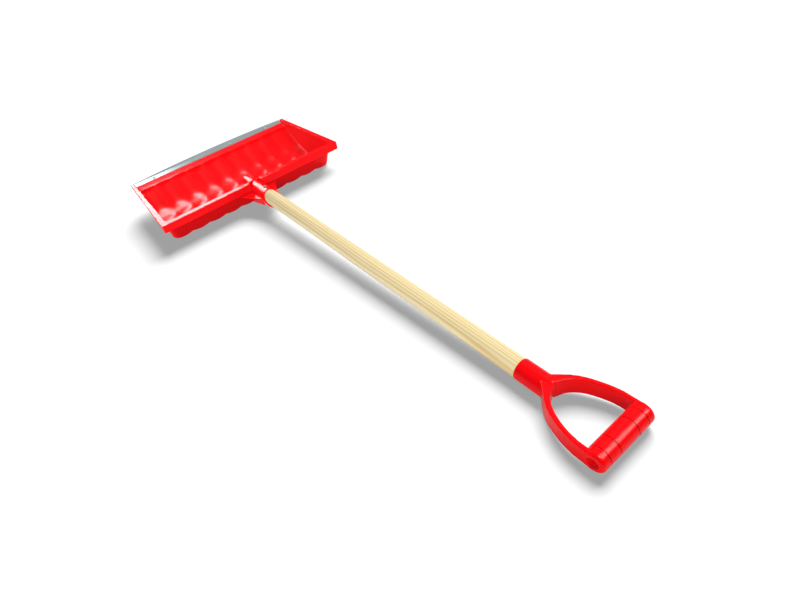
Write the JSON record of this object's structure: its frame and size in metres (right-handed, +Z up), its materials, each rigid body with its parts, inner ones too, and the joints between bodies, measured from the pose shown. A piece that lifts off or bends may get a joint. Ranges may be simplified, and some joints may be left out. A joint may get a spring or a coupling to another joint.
{
  "type": "snow shovel",
  "caption": "Snow shovel: deep plastic scoop with ribbed floor, metal front edge, straight wooden shaft and D-shaped hand grip.",
  "frame": {"origin": "on the ground, midway along and across the shovel as it lies face up", "axes": "+X to the user's right, across the shovel; +Y from the grip towards the scoop's front edge; +Z up, out of the open scoop"},
  "size_m": [0.4972, 1.3104, 0.0768],
  "materials": {
    "scoop_plastic": "satin moulded polypropylene",
    "grip_plastic": "satin moulded polypropylene",
    "edge_metal": "mill-finish, brushed along its length",
    "rivet_metal": "pressed, satin",
    "screw_steel": "zinc plated",
    "shaft_wood": "turned and sanded pine, thin clear varnish"
  },
  "bodies": {
    "root": {"scoop": "scoop_plastic", "wear_edge": "edge_metal", "edge_rivets": "rivet_metal", "shaft": "shaft_wood", "scoop_screw": "screw_steel", "grip": "grip_plastic", "grip_screw": "screw_steel"}
  },
  "joints": []
}
